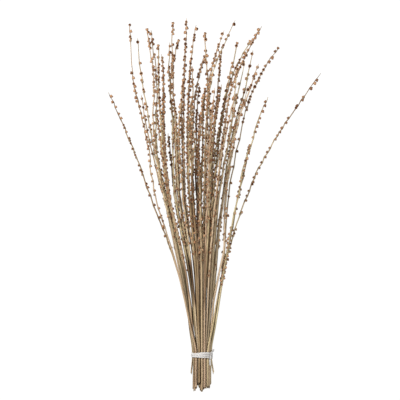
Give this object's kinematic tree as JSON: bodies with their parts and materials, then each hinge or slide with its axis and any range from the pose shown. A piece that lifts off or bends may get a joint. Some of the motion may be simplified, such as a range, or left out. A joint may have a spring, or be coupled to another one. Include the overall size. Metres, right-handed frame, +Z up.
{
  "type": "dried date branch bundle",
  "caption": "Bundle of dried date palm fruit strands with small round caps, tied near the cut ends with white string, lying down.",
  "frame": {"origin": "on the surface the bundle lies on, under the middle of the string tie", "axes": "+Y along the bundle from the tie to the strand tips, +Z up from the surface, +X to the right seen from above with the tips up"},
  "size_m": [0.4103, 0.7195, 0.1512],
  "materials": {
    "dried_strand": "matt dry plant stem, pale tan to grey brown, with darker brown caps",
    "white_string": "matt white flat string"
  },
  "bodies": {
    "root": {"strand_01": "dried_strand", "strand_02": "dried_strand", "strand_03": "dried_strand", "strand_04": "dried_strand", "strand_05": "dried_strand", "strand_06": "dried_strand", "strand_07": "dried_strand", "strand_08": "dried_strand", "strand_09": "dried_strand", "strand_10": "dried_strand", "strand_11": "dried_strand", "strand_12": "dried_strand", "strand_13": "dried_strand", "strand_14": "dried_strand", "strand_15": "dried_strand", "strand_16": "dried_strand", "strand_17": "dried_strand", "strand_18": "dried_strand", "strand_19": "dried_strand", "strand_20": "dried_strand", "strand_21": "dried_strand", "strand_22": "dried_strand", "strand_23": "dried_strand", "strand_24": "dried_strand", "strand_25": "dried_strand", "strand_26": "dried_strand", "strand_27": "dried_strand", "strand_28": "dried_strand", "strand_29": "dried_strand", "strand_30": "dried_strand", "strand_31": "dried_strand", "strand_32": "dried_strand", "strand_33": "dried_strand", "strand_34": "dried_strand", "strand_35": "dried_strand", "strand_36": "dried_strand", "strand_37": "dried_strand", "strand_38": "dried_strand", "strand_39": "dried_strand", "strand_40": "dried_strand", "strand_41": "dried_strand", "strand_42": "dried_strand", "strand_43": "dried_strand", "strand_44": "dried_strand", "strand_45": "dried_strand", "strand_46": "dried_strand", "strand_47": "dried_strand", "strand_48": "dried_strand", "strand_49": "dried_strand", "strand_50": "dried_strand", "strand_51": "dried_strand", "strand_52": "dried_strand", "strand_53": "dried_strand", "strand_54": "dried_strand", "strand_55": "dried_strand", "strand_56": "dried_strand", "strand_57": "dried_strand", "string_tie": "white_string"}
  },
  "joints": []
}
